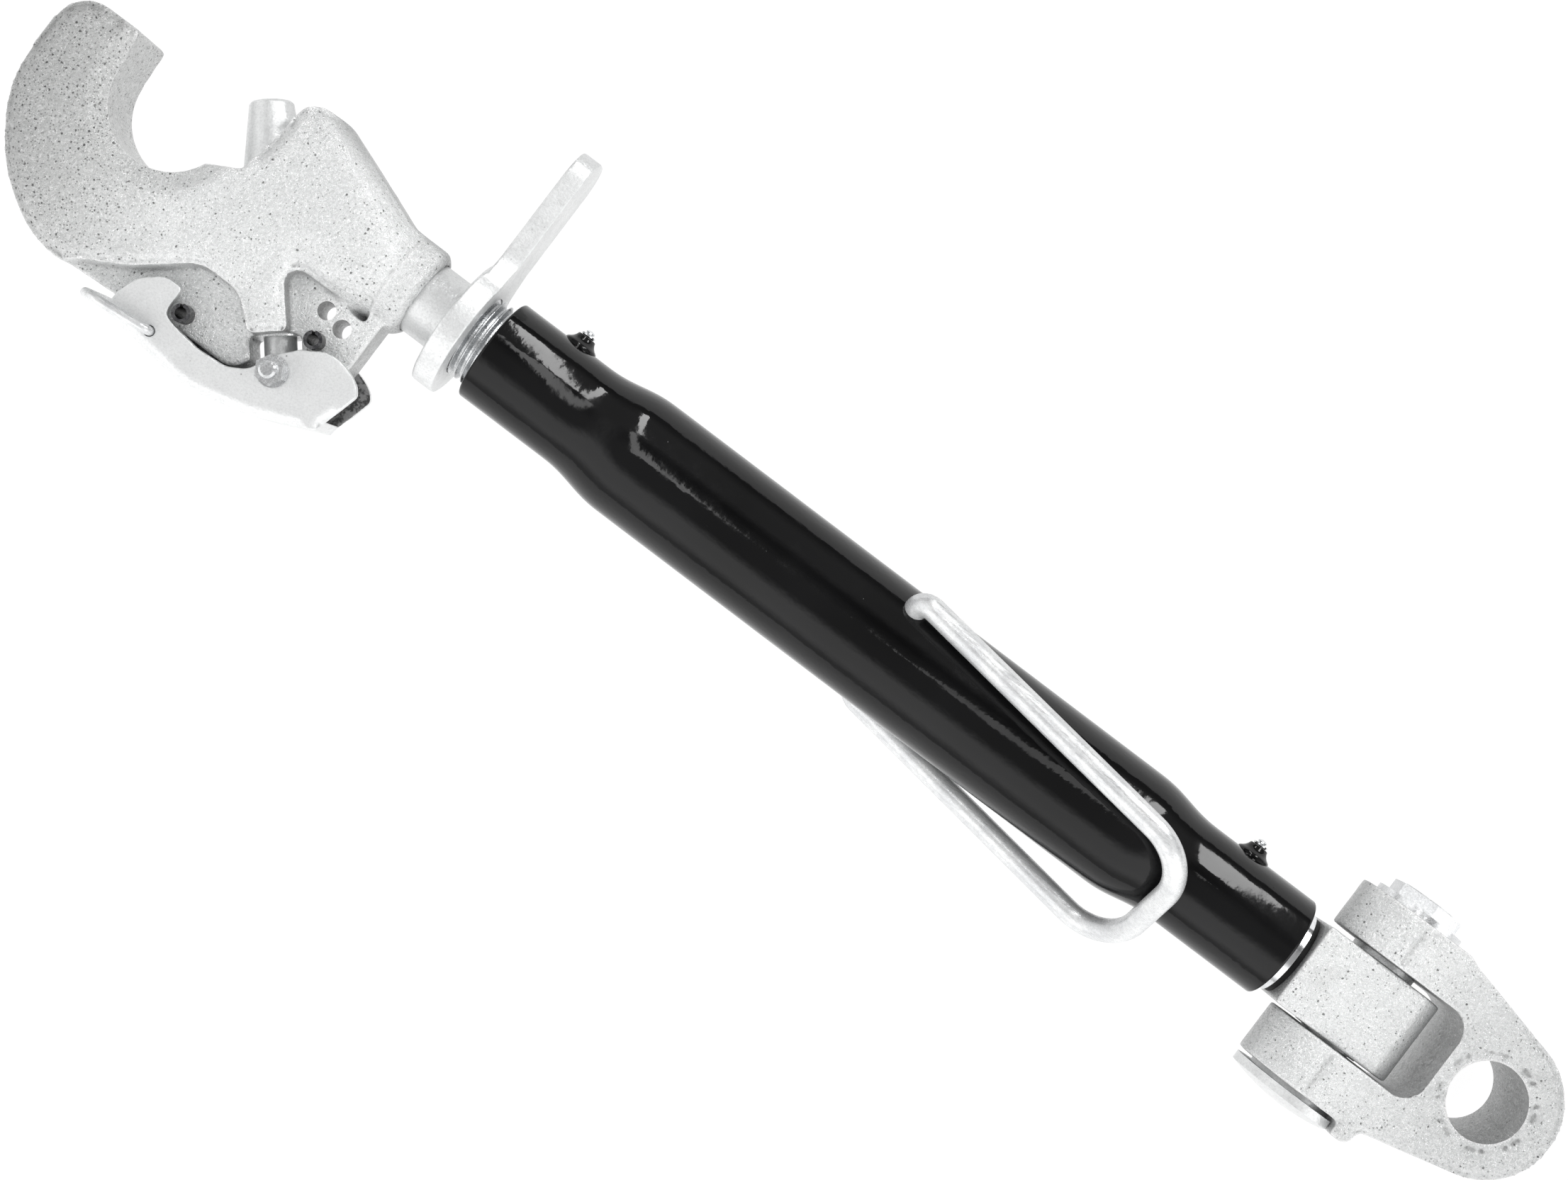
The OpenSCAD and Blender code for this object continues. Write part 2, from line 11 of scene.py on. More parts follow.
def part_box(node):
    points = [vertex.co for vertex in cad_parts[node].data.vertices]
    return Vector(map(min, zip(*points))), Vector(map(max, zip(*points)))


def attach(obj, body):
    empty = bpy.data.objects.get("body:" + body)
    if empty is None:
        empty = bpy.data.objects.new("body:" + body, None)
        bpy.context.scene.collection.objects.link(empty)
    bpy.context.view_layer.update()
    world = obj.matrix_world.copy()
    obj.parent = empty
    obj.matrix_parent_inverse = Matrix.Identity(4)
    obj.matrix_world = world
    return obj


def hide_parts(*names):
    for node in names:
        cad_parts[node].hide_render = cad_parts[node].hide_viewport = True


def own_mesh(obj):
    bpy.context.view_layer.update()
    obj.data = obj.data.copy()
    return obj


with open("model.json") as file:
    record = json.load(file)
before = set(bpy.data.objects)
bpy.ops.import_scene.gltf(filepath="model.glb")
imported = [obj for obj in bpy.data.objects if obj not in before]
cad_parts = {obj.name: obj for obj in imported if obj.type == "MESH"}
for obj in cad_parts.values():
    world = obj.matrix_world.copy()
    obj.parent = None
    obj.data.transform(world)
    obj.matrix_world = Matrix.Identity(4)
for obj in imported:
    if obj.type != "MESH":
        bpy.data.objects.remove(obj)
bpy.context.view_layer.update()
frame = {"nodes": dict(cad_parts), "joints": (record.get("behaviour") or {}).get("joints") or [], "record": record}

MM = 0.001
NODES = frame["nodes"]
JOINTS = {j["name"]: j for j in frame["joints"]}
MOUNTS = {m["name"]: m for m in frame["record"]["mounts"]}
BODY_OF = {n: b for b, ns in frame["record"]["behaviour"]["bodies"].items() for n in ns}

SEAT = Vector(MOUNTS["hook_seat"]["pos_m"])
SEAT_R = MOUNTS["hook_seat"]["dims"]["r_mm"] * MM
EYE_R = MOUNTS["eye_bore"]["dims"]["r_mm"] * MM
FIN_HOLE_R = MOUNTS["fin_hole_inner"]["dims"]["r_mm"] * MM
STUD = Vector(JOINTS["lever_turn"]["pos_m"])
RING_AT = Vector(JOINTS["ring_swing"]["pos_m"])
PLUNGER_WAY = -Vector(JOINTS["plunger_slide"]["axis"]).normalized()


# ---------------------------------------------------------------- materials

def set_range(node, low, high, out_low, out_high):
    """Smooth passage of a Map Range node from out_low to out_high between low and high."""
    node.interpolation_type = "SMOOTHSTEP"
    for name, value in zip(("From Min", "From Max", "To Min", "To Max"), (low, high, out_low, out_high)):
        node.inputs[name].default_value = value


class Nodes:
    """A material's node tree, with short calls for the nodes that the finishes share."""

    def __init__(self, name):
        self.mat = bpy.data.materials.new(name)
        self.mat.use_nodes = True
        self.tree = self.mat.node_tree
        self.tree.nodes.clear()
        self.out = self.tree.nodes.new("ShaderNodeOutputMaterial")
        self.shader = self.tree.nodes.new("ShaderNodeBsdfPrincipled")
        self.link(self.shader, "BSDF", self.out, "Surface")
        self.coords = self.tree.nodes.new("ShaderNodeTexCoord")

    def link(self, a, a_socket, b, b_socket):
        self.tree.links.new(a.outputs[a_socket], b.inputs[b_socket])

    def place(self, stretch=(1, 1, 1), turn=0.0):
        """Object coordinates in metres, turned about Z and scaled on each axis; below 1 draws marks out."""
        node = self.tree.nodes.new("ShaderNodeMapping")
        node.inputs["Scale"].default_value = stretch
        node.inputs["Rotation"].default_value = (0, 0, turn)
        self.link(self.coords, "Object", node, "Vector")
        return node

    def noise(self, size_mm, detail=4.0, rough=0.55, where=None):
        node = self.tree.nodes.new("ShaderNodeTexNoise")
        node.inputs["Scale"].default_value = 1 / (size_mm * MM)
        node.inputs["Detail"].default_value = detail
        node.inputs["Roughness"].default_value = rough
        self.link(where or self.place(), "Vector", node, "Vector")
        return node

    def cells(self, size_mm, where=None):
        node = self.tree.nodes.new("ShaderNodeTexVoronoi")
        node.inputs["Scale"].default_value = 1 / (size_mm * MM)
        self.link(where or self.place(), "Vector", node, "Vector")
        return node

    def warped(self, size_mm, reach_mm):
        """Object coordinates pushed about by noise, so that cells lose their round shape."""
        noise = self.noise(size_mm, 2, 0.5)
        off = self.tree.nodes.new("ShaderNodeVectorMath")
        off.operation = "MULTIPLY_ADD"
        self.link(noise, "Color", off, 0)
        off.inputs[1].default_value = (reach_mm * MM,) * 3
        self.tree.links.new(self.coords.outputs["Object"], off.inputs[2])
        return off

    def split(self):
        node = self.tree.nodes.new("ShaderNodeSeparateXYZ")
        self.link(self.coords, "Object", node, 0)
        return node

    def facing(self):
        node = self.tree.nodes.new("ShaderNodeSeparateXYZ")
        self.link(self.coords, "Normal", node, 0)
        return node

    def walls(self):
        """1 on faces that stand upright, fading to 0 on those that lie flat."""
        flat = self.math("ABSOLUTE", self.facing(), "Z", 0.0)
        return self.ramp(flat, "Value", 0.12, 0.62, 1.0, 0.0)

    def hollows(self, low, high):
        """1 where the mesh is hollower than low, fading to 0 at high; low above high picks ridges.

        A flat place has the value 0.5.
        """
        node = self.tree.nodes.new("ShaderNodeNewGeometry")
        return self.ramp(node, "Pointiness", low, high, 1.0, 0.0)

    def scaled(self, colour, factor):
        """An earlier mix with its brightness scaled by a factor below 1."""
        return self.blend(None, None, colour, (0.0, 0.0, 0.0), 1 - factor)

    def specks(self, spacing_mm, core, edge, share, dense, where):
        """Small marks in a share of the cells of a random pattern; dense raises the share.

        A mark is full within core of its cell's centre and gone at edge, both as parts of the spacing.
        """
        cell = self.cells(spacing_mm, where=where)
        fray = self.ramp(self.noise(spacing_mm / 4, 3, 0.6), "Fac", 0.3, 0.7, -0.09, 0.09)
        ragged = self.math("ADD", cell, "Distance", fray, "Result")
        spot = self.ramp(ragged, "Value", core, edge, 1.0, 0.0)
        drawn = self.tree.nodes.new("ShaderNodeSeparateColor")
        self.link(cell, "Color", drawn, "Color")
        raised = self.ramp(dense, "Result", 0.0, 1.0, 0.0, 0.55)
        luck = self.math("ADD", drawn, "Red", raised, "Result")
        chosen = self.ramp(luck, "Value", 1 - share, 1.05 - share)
        return self.math("MULTIPLY", spot, "Result", chosen, "Result")

    def ramp(self, source, socket, low, high, out_low=0.0, out_high=1.0):
        node = self.tree.nodes.new("ShaderNodeMapRange")
        set_range(node, low, high, out_low, out_high)
        self.link(source, socket, node, "Value")
        return node

    def math(self, kind, a, a_socket, b, b_socket=None):
        node = self.tree.nodes.new("ShaderNodeMath")
        node.operation = kind
        self.tree.links.new(a.outputs[a_socket], node.inputs[0])
        if b_socket is None:
            node.inputs[1].default_value = b
        else:
            self.tree.links.new(b.outputs[b_socket], node.inputs[1])
        return node

    def blend(self, factor, f_socket, a, b, share=0.5):
        """A mix of two colours, each an RGB triple or an earlier mix, by a node's output or by share."""
        node = self.tree.nodes.new("ShaderNodeMix")
        node.data_type = "RGBA"
        if factor:
            self.tree.links.new(factor.outputs[f_socket], node.inputs["Factor"])
        else:
            node.inputs["Factor"].default_value = share
        for socket, value in ((node.inputs[6], a), (node.inputs[7], b)):
            if isinstance(value, tuple):
                socket.default_value = (*value, 1)
            else:
                self.tree.links.new(value.outputs[2], socket)
        return node

    def over(self, base, source, socket, low, high, share, colour):
        """Base with a colour laid over it where the source rises from low to high, up to a share."""
        return self.blend(self.ramp(source, socket, low, high, 0.0, share), "Result", base, colour)

    def bump(self, source, socket, depth_mm, under=None, strength=1.0):
        node = self.tree.nodes.new("ShaderNodeBump")
        node.inputs["Distance"].default_value = depth_mm * MM
        node.inputs["Strength"].default_value = strength
        self.link(source, socket, node, "Height")
        if under:
            self.link(under, "Normal", node, "Normal")
        return node

    def finish(self, colour=None, rough=None, normal=None, **constants):
        if colour is not None:
            if isinstance(colour, tuple):
                self.shader.inputs["Base Color"].default_value = (*colour, 1)
            else:
                self.tree.links.new(colour.outputs[2], self.shader.inputs["Base Color"])
        if rough is not None:
            if isinstance(rough, float):
                self.shader.inputs["Roughness"].default_value = rough
            else:
                self.link(rough, "Result", self.shader, "Roughness")
        if normal is not None:
            self.link(normal, "Normal", self.shader, "Normal")
        for name, value in constants.items():
            self.shader.inputs[name.replace("_", " ")].default_value = value
        return self


def forged_zinc(name, pits_and_shade_end=None, wall=0.64):
    """Zinc plate over a shot-blasted forging: crystalline grain, blotches, and dark specks and pits.

    pits_and_shade_end gives two places along X between which the specks grow dense and from which the
    painted shade on the jaw and on the body's walls is placed; without it the end near the eye gets painted
    shade. wall is the brightness of the painted shade on the upright faces. Creases get painted shade and
    ridges a painted highlight.
    """
    m = Nodes(name)
    warp = m.warped(1.1, 0.5)
    blotch = m.noise(30, 4, 0.6)
    patch = m.noise(9, 3, 0.6)
    grain = m.noise(1.0, 5, 0.72)
    coarse = m.noise(1.7, 3, 0.65)
    if pits_and_shade_end:
        dense = m.ramp(m.split(), "X", *pits_and_shade_end)
    else:
        dense = m.ramp(blotch, "Fac", 0.45, 0.75, 0.0, 0.5)
    fine = m.specks(1.2, 0.18, 0.32, 0.22, dense, warp)
    pits = m.specks(2.4, 0.12, 0.22, 0.20, dense, warp)
    base = m.blend(m.ramp(blotch, "Fac", 0.35, 0.65), "Result", (0.86, 0.87, 0.87), (0.95, 0.96, 0.96))
    base = m.over(base, patch, "Fac", 0.40, 0.70, 0.30, (0.74, 0.75, 0.75))
    base = m.over(base, dense, "Result", 0.0, 1.0, 0.46, (0.42, 0.42, 0.41))
    base = m.over(base, grain, "Fac", 0.47, 0.60, 0.50, (0.48, 0.49, 0.49))
    base = m.over(base, coarse, "Fac", 0.48, 0.66, 0.40, (0.99, 0.99, 0.99))
    base = m.over(base, fine, "Value", 0.0, 1.0, 0.78, (0.17, 0.17, 0.17))
    base = m.over(base, pits, "Value", 0.0, 1.0, 0.85, (0.07, 0.07, 0.07))
    walls = m.walls()
    # Painted shade in creases and a painted highlight on ridges, only where the face lies flat: cut walls have
    # long faces that give streaks
    lying = m.ramp(walls, "Result", 0.0, 0.8, 1.0, 0.0)
    crease_shade = m.math("MULTIPLY", m.hollows(0.455, 0.497), "Result", lying, "Result")
    ridge_highlight = m.math("MULTIPLY", m.hollows(0.550, 0.508), "Result", lying, "Result")
    base = m.blend(crease_shade, "Value", base, m.scaled(base, 0.50))
    base = m.blend(ridge_highlight, "Value", base, (0.97, 0.97, 0.97))
    if pits_and_shade_end:
        # Painted shade: the jaw is darker than the rest, and the walls of the body behind it are darker still
        begins, full = pits_and_shade_end
        jaw_shade = m.ramp(m.split(), "X", begins - 0.035, full - 0.03)
        base = m.blend(jaw_shade, "Result", base, m.scaled(base, 0.76))
        body = m.ramp(m.split(), "X", begins - 0.012, begins)
        side = m.math("MULTIPLY", walls, "Result", body, "Result")
        base = m.blend(side, "Value", base, m.scaled(base, 0.55))
    else:
        # Painted shade, darker at the eye's end
        eye_end_shade = m.ramp(m.split(), "X", -0.065, 0.005)
        base = m.blend(eye_end_shade, "Result", base, m.scaled(base, 0.82))
    # Painted shade on the upright faces
    base = m.blend(walls, "Result", base, m.scaled(base, wall))
    rough = m.ramp(grain, "Fac", 0.40, 0.60, 0.26, 0.50)
    normal = m.bump(blotch, "Fac", 0.6, strength=0.35)
    normal = m.bump(coarse, "Fac", 0.62, normal, 0.9)
    normal = m.bump(grain, "Fac", 0.46, normal, 0.9)
    normal = m.bump(m.ramp(pits, "Value", 0.0, 1.0, 1.0, 0.0), "Result", 0.15, normal, 0.8)
    return m.finish(base, rough, normal, Metallic=0.52)


def plated(name, light, dark, roughness, streak=(1, 1, 1), turn=0.0, pits=0.4, metal=0.38, wall=0.86,
           dark_below=None, lined=0.25, ripple_mm=0.35):
    """Zinc plate over smoother steel: a fine ripple, faint marks along one direction and few specks.

    streak and turn draw the marks out, lined and pits say how strong the marks and specks are, wall is
    the brightness of the painted shade on upright faces, and upward faces lower than dark_below are made
    dark and mottled.
    """
    m = Nodes(name)
    cloud = m.noise(16, 4, 0.6)
    lines = m.noise(0.8, 4, 0.6, m.place(streak, turn))
    grain = m.noise(0.9, 4, 0.65)
    ripple = m.noise(2.6, 3, 0.6)
    spot = m.ramp(m.cells(3.6), "Distance", 0.06, 0.13, 1.0, 0.0)
    some = m.ramp(m.noise(9, 2, 0.5), "Fac", 0.52, 0.60, 0.0, pits)
    mark = m.math("MULTIPLY", spot, "Result", some, "Result")
    base = m.blend(m.ramp(cloud, "Fac", 0.38, 0.62), "Result", light, dark)
    base = m.over(base, grain, "Fac", 0.46, 0.62, 0.30, tuple(0.68 * c for c in dark))
    base = m.over(base, lines, "Fac", 0.48, 0.66, lined, tuple(0.7 * c for c in dark))
    base = m.blend(mark, "Value", base, (0.16, 0.16, 0.16))
    # Painted shade on the upright faces
    base = m.blend(m.walls(), "Result", base, m.scaled(base, wall))
    # Upward faces low in the piece, inside the lever's lower cheek, are made dark and mottled
    if dark_below:
        deep = m.ramp(m.split(), "Z", dark_below, dark_below - 0.8 * MM)
        up = m.ramp(m.facing(), "Z", 0.3, 0.7)
        dark_inside = m.math("MULTIPLY", deep, "Result", up, "Result")
        dark_mottle = m.blend(m.ramp(ripple, "Fac", 0.42, 0.58), "Result", (0.05, 0.05, 0.05), (0.26, 0.26, 0.26))
        base = m.blend(dark_inside, "Value", base, dark_mottle)
    rough = m.ramp(lines, "Fac", 0.4, 0.6, roughness - 0.06, roughness + 0.10)
    normal = m.bump(ripple, "Fac", ripple_mm, strength=0.6)
    normal = m.bump(lines, "Fac", 0.06, normal, 0.4)
    normal = m.bump(grain, "Fac", 0.45 * ripple_mm, normal, 0.6)
    return m.finish(base, rough, normal, Metallic=metal)


def black_paint():
    """Gloss black enamel with a little orange peel, dust nibs and dulled patches."""
    m = Nodes("gloss_black_paint")
    peel = m.noise(2.6, 2, 0.4)
    sag = m.noise(45, 2, 0.5)
    nib = m.ramp(m.cells(9.0), "Distance", 0.02, 0.05, 1.0, 0.0)
    base = m.blend(m.ramp(sag, "Fac", 0.3, 0.7), "Result", (0.002, 0.002, 0.0022), (0.005, 0.005, 0.0055))
    rough = m.ramp(m.noise(14, 5, 0.65), "Fac", 0.35, 0.75, 0.05, 0.14)
    run = m.noise(9, 3, 0.55, m.place((0.45, 1, 1)))
    normal = m.bump(sag, "Fac", 0.6, strength=0.35)
    normal = m.bump(run, "Fac", 0.26, normal, 0.50)
    normal = m.bump(peel, "Fac", 0.09, normal, 0.45)
    normal = m.bump(nib, "Result", 0.06, normal, 0.4)
    return m.finish(base, rough, normal, Metallic=0.0, IOR=1.37)


def polished_steel():
    """Bright turned steel with faint rings round the link's axis."""
    m = Nodes("polished_steel")
    rings = m.noise(0.7, 3, 0.6, m.place((1, 0.04, 0.04)))
    smear = m.noise(6, 4, 0.6)
    base = m.blend(m.ramp(smear, "Fac", 0.35, 0.7), "Result", (0.80, 0.81, 0.82), (0.66, 0.67, 0.68))
    rough = m.ramp(rings, "Fac", 0.3, 0.7, 0.08, 0.20)
    return m.finish(base, rough, m.bump(rings, "Fac", 0.02, strength=0.35), Metallic=1.0)


def rubber():
    """Dull black rubber with a little bloom."""
    m = Nodes("black_rubber")
    grain = m.noise(0.8, 4, 0.6)
    bloom = m.ramp(m.noise(6, 3, 0.6), "Fac", 0.35, 0.7)
    base = m.blend(bloom, "Result", (0.004, 0.004, 0.004), (0.014, 0.014, 0.014))
    rough = m.ramp(grain, "Fac", 0.3, 0.7, 0.50, 0.72)
    return m.finish(base, rough, m.bump(grain, "Fac", 0.05, strength=0.4), Metallic=0.0, IOR=1.32)


def spring_steel():
    """Oiled dark steel, its upright faces made almost black by painted shade."""
    m = Nodes("dark_steel")
    film = m.noise(3.0, 4, 0.6)
    base = m.blend(m.ramp(film, "Fac", 0.35, 0.7), "Result", (0.05, 0.05, 0.055), (0.20, 0.20, 0.205))
    # Painted shade: the upright faces are made almost black
    base = m.blend(m.walls(), "Result", base, (0.006, 0.006, 0.006))
    rough = m.ramp(m.noise(0.8, 3, 0.6), "Fac", 0.3, 0.7, 0.24, 0.42)
    return m.finish(base, rough, m.bump(film, "Fac", 0.03, strength=0.4), Metallic=0.9)


LIGHT_ZINC = (0.97, 0.98, 0.98)
DARK_ZINC = (0.88, 0.89, 0.89)
# These places also set where the painted shade on the jaw and on the walls of the hook's body begins
HOOK_PITS_AND_SHADE = (-0.590, -0.668)  # along X, where the jaw's pits begin and where they are densest
LOWER_CHEEK_Z = -0.0125  # just above the inner face of the lever's lower cheek
FINISHES = {
    "forged_zinc": forged_zinc("forged_zinc"),
    "forged_zinc_pitted": forged_zinc("forged_zinc_pitted", HOOK_PITS_AND_SHADE, 1.0),
    "zinc_plate": plated("zinc_plate", LIGHT_ZINC, DARK_ZINC, 0.34),
    "machined_steel": plated("machined_steel", LIGHT_ZINC, DARK_ZINC, 0.26, pits=0.1, lined=0.08),
    "lever_plate": plated(
        "zinc_plate", LIGHT_ZINC, (0.93, 0.94, 0.94), 0.36, pits=0.7, metal=0.30, dark_below=LOWER_CHEEK_Z),
    "turned_steel": plated(
        "machined_steel", (0.90, 0.91, 0.92), (0.72, 0.73, 0.74), 0.22, pits=0.0, metal=0.85, wall=0.80,
        lined=0.05, ripple_mm=0.06),
    "thread": plated(
        "machined_thread", (0.72, 0.73, 0.74), (0.50, 0.51, 0.52), 0.22, streak=(0.1, 1, 1), metal=0.95,
        wall=1.0),
    "galvanised_wire": plated(
        "galvanised_wire", LIGHT_ZINC, (0.80, 0.81, 0.82), 0.30, streak=(0.05, 1, 1), turn=0.08, pits=0.2,
        ripple_mm=0.14),
    "gloss_black_paint": black_paint(),
    "polished_steel": polished_steel(),
    "black_rubber": rubber(),
    "dark_steel": spring_steel(),
}
SLOT_OF = {s["node"]: s["material_slot"] for s in frame["record"]["subparts"]}


def paint(obj, finish):
    obj.data.materials.clear()
    obj.data.materials.append(finish.mat)


# ---------------------------------------------------------------- mesh helpers

def new_object(name, mesh):
    obj = bpy.data.objects.new(name, mesh)
    bpy.context.scene.collection.objects.link(obj)
    return obj


def stands_for(obj, *nodes, finish=None):
    """A finished piece takes over from CAD nodes: their body and their finish."""
    paint(obj, FINISHES[finish or SLOT_OF[nodes[0]]])
    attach(obj, BODY_OF[nodes[0]])
    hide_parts(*nodes)
    return obj


def smooth_shading(mesh, angle=35):
    mesh.polygons.foreach_set("use_smooth", [True] * len(mesh.polygons))
    mesh.set_sharp_from_angle(angle=math.radians(angle))


def baked(obj):
    """The object's mesh with its modifiers applied, in place of the old mesh."""
    graph = bpy.context.evaluated_depsgraph_get()
    made = bpy.data.meshes.new_from_object(obj.evaluated_get(graph))
    obj.modifiers.clear()
    obj.data = made
    return obj


def object_from(bm, name, mesh=None):
    """Write a bmesh out as an object, into a mesh of its own unless one is given, and free it."""
    mesh = mesh or bpy.data.meshes.new(name)
    bm.to_mesh(mesh)
    bm.free()
    return new_object(name, mesh)


def solid(name, verts, faces, weld=0.0, collapse=0.0, move=None):
    """An object from rows of points and faces, its normals outwards; weld and collapse are distances."""
    mesh = bpy.data.meshes.new(name)
    mesh.from_pydata(verts, [], faces)
    bm = bmesh.new()
    bm.from_mesh(mesh)
    if weld:
        bmesh.ops.remove_doubles(bm, verts=bm.verts, dist=weld)
    if collapse:
        bmesh.ops.dissolve_degenerate(bm, edges=bm.edges, dist=collapse)
    bmesh.ops.recalc_face_normals(bm, faces=bm.faces)
    if move is not None:
        bm.transform(move)
    return object_from(bm, name, mesh)


def bar(name, p, q, radius, sides=64):
    """A round bar from p to q, mostly used as a cutter."""
    p, q = Vector(p), Vector(q)
    way = q - p
    bm = bmesh.new()
    bmesh.ops.create_cone(
        bm, cap_ends=True, segments=sides, radius1=radius, radius2=radius, depth=way.length)
    turn = way.to_track_quat("Z", "Y").to_matrix().to_4x4()
    bm.transform(Matrix.Translation((p + q) / 2) @ turn)
    return object_from(bm, name)


def joined(obj, *others):
    """One object with the meshes of several; the others are dropped."""
    bm = bmesh.new()
    for piece in (obj, *others):
        bm.from_mesh(piece.data)
    bm.to_mesh(obj.data)
    bm.free()
    for piece in others:
        bpy.data.objects.remove(piece)
    smooth_shading(obj.data)
    return obj


def cut_away(obj, cutters):
    """Subtract the cutters one by one, then drop them."""
    for cutter in cutters:
        mod = obj.modifiers.new("cut", "BOOLEAN")
        mod.operation = "DIFFERENCE"
        mod.solver = "MANIFOLD"
        mod.object = cutter
    baked(obj)
    for cutter in cutters:
        bpy.data.objects.remove(cutter)
    return obj


def face_outline(mesh, top):
    """The straight pieces round the flat faces of a mesh at height top, as rows of x0, y0, x1, y1."""
    bm = bmesh.new()
    bm.from_mesh(mesh)
    flat = {f for f in bm.faces if f.normal.z > 0.99 and abs(f.calc_center_median().z - top) < 1e-5}
    rim = []
    for edge in {e for f in flat for e in f.edges}:
        if sum(f in flat for f in edge.link_faces) == 1:
            p, q = (v.co for v in edge.verts)
            rim.append((p.x, p.y, q.x, q.y))
    bm.free()
    return np.array(rim)


def roll_over(mesh, top, radius_at, also=None):
    """Round the edges of a flat-faced forging by lowering its height near the outline of its top face.

    The edge at x, y becomes a quarter round of radius_at(x, y), the same above and below, and
    also(x, y) may give a lower ceiling for whole arrays of points.
    """
    rim = face_outline(mesh, top)
    radii = np.array([radius_at((r[0] + r[2]) / 2, (r[1] + r[3]) / 2) for r in rim])
    keep = radii > 0
    rim, radii = rim[keep], radii[keep]
    start = rim[:, :2]
    span = rim[:, 2:] - start
    length = np.maximum((span ** 2).sum(1), 1e-16)
    co = np.empty(len(mesh.vertices) * 3)
    mesh.vertices.foreach_get("co", co)
    co = co.reshape(-1, 3)
    limit = np.full(len(co), top)
    for a, way, sq, radius in zip(start, span, length, radii):
        off = co[:, :2] - a
        t = np.clip((off @ way) / sq, 0, 1)
        d = np.linalg.norm(off - t[:, None] * way, axis=1)
        near = d < radius
        drop = radius - np.sqrt(np.maximum(radius ** 2 - (radius - d[near]) ** 2, 0))
        limit[near] = np.minimum(limit[near], top - drop)
    if also:
        limit = np.minimum(limit, also(co[:, 0], co[:, 1]))
    co[:, 2] = np.clip(co[:, 2], -limit, limit)
    mesh.vertices.foreach_set("co", co.ravel())
    mesh.update()


def remeshed(obj, voxel_mm):
    mod = obj.modifiers.new("remesh", "REMESH")
    mod.mode = "VOXEL"
    mod.voxel_size = voxel_mm * MM
    return baked(obj)


LUMP_SIZE_MM = 6.0


def softened(node, name, voxel_mm, rounds, lumps_mm, rolled=None, also=None, plugs=()):
    """A copy of a CAD node with every edge worn round, as a forging or a pressing has them.

    rolled and also go to roll_over. The plugs fill its machined bores first, so that cutting them
    afterwards leaves crisp edges.
    """
    obj = new_object(name, NODES[node].data.copy())
    if plugs:
        joined(obj, *plugs)
    remeshed(obj, voxel_mm)
    if rolled:
        roll_over(obj.data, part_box(node)[1].z, rolled, also)
        remeshed(obj, voxel_mm)
    mod = obj.modifiers.new("smooth", "SMOOTH")
    mod.factor = 0.5
    mod.iterations = rounds
    clouds = bpy.data.textures.new(name + "_lumps", "CLOUDS")
    clouds.noise_scale = LUMP_SIZE_MM * MM
    clouds.noise_depth = 2
    mod = obj.modifiers.new("lumps", "DISPLACE")
    mod.texture = clouds
    mod.texture_coords = "LOCAL"
    mod.strength = lumps_mm * MM
    mod.mid_level = 1.0  # only ever inwards, so the piece stays in its CAD box
    return baked(obj)


def lathe(name, profile, sides=128, axis="X", origin=(0, 0, 0)):
    """A turned piece: profile is a closed loop of (place along the axis, radius) in metres."""
    verts = []
    faces = []
    n = len(profile)
    for i in range(sides):
        a = 2 * math.pi * i / sides
        for along, r in profile:
            verts.append((along, r * math.cos(a), r * math.sin(a)))
    for i in range(sides):
        j = (i + 1) % sides
        for k in range(n):
            m = (k + 1) % n
            if profile[k][1] == 0 and profile[m][1] == 0:
                continue
            faces.append((i * n + k, j * n + k, j * n + m, i * n + m))
    turns = {"X": Matrix.Identity(4), "Y": Matrix.Rotation(math.radians(90), 4, "Z")}
    return solid(name, verts, faces, weld=1e-7, move=Matrix.Translation(origin) @ turns[axis])


# ---------------------------------------------------------------- forgings

# Slopes are depth per width; along the hook, places are measured in +X from its seat's centre
SINK_SLOPE = 0.42
SEAT_SLOPE = 0.45
SEAT_SLOPE_W = 0.0078
JAW_TIP_Y = 0.0125
SHOULDER_AT = 0.045
SOCKET_AT = 0.108
SOCKET_R = 0.0198
SOCKET_SPREAD = 0.32
FIN_TOP_Y = -0.0215
PLUNGER_BORE_R = 0.0119
NO_LIMIT = 1.0


def through(name, at, radius, sides=64, half=0.03):
    """A bar along Z through a point, by default long enough to cut everything."""
    at = Vector((at[0], at[1], 0))
    up = Vector((0, 0, half))
    return bar(name, at - up, at + up, radius, sides)


def seat_slope(top, out):
    """Height of the slope round the hook's seat, at the distance out from the seat's centre."""
    return top - (SEAT_R + SEAT_SLOPE_W - out) * SEAT_SLOPE


def seat_liner(top):
    """Fills the hook's seat along its wall, under the slope beside it, from the jaw's tip to its floor."""
    inner, outer = 0.018, SEAT_R + 0.0004
    low, high = seat_slope(top, inner), seat_slope(top, outer)
    section = ((inner, -low), (outer, -high), (outer, high), (inner, low))
    start, end, steps = math.radians(184), math.radians(336), 60
    verts = []
    for i in range(steps + 1):
        a = start + (end - start) * i / steps
        verts += [(SEAT.x + r * math.cos(a), SEAT.y + r * math.sin(a), z) for r, z in section]
    faces = [(0, 1, 2, 3), tuple(steps * 4 + k for k in (3, 2, 1, 0))]
    for i in range(steps):
        p, q = 4 * i, 4 * i + 4
        faces += [(p + k, q + k, q + (k + 1) % 4, p + (k + 1) % 4) for k in range(4)]
    return solid("seat_liner", verts, faces)


